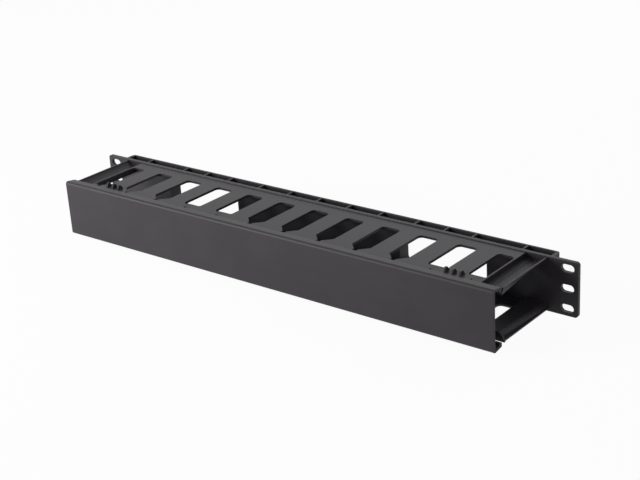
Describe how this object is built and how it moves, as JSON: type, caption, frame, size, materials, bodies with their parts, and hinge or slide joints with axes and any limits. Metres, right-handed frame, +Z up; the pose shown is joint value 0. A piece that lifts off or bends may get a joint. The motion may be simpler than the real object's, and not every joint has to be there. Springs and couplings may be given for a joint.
{
  "type": "horizontal cable manager",
  "caption": "One-unit rack cable manager: a slotted finger duct on a wide front panel with slotted ears and cable windows, closed by a clip-fit cover that swings down.",
  "frame": {"origin": "centre of the ears' rear face, between the mounting slots, at mid-height", "axes": "+X to the right along the panel, +Y to the rear of the rack, +Z up"},
  "size_m": [0.4826, 0.087, 0.0491],
  "materials": {
    "moulding": "fine even texture, dark charcoal",
    "cover": "fine even texture, dark charcoal"
  },
  "bodies": {
    "frame": {"duct_frame": "moulding"},
    "cover": {"front_cover": "cover"}
  },
  "joints": [
    {"name": "cover_swing", "type": "hinge", "parent": "frame", "child": "cover", "pos_m": [0, -0.0687, -0.0206], "axis": [1, 0, 0], "range_deg": [0, 90]}
  ]
}
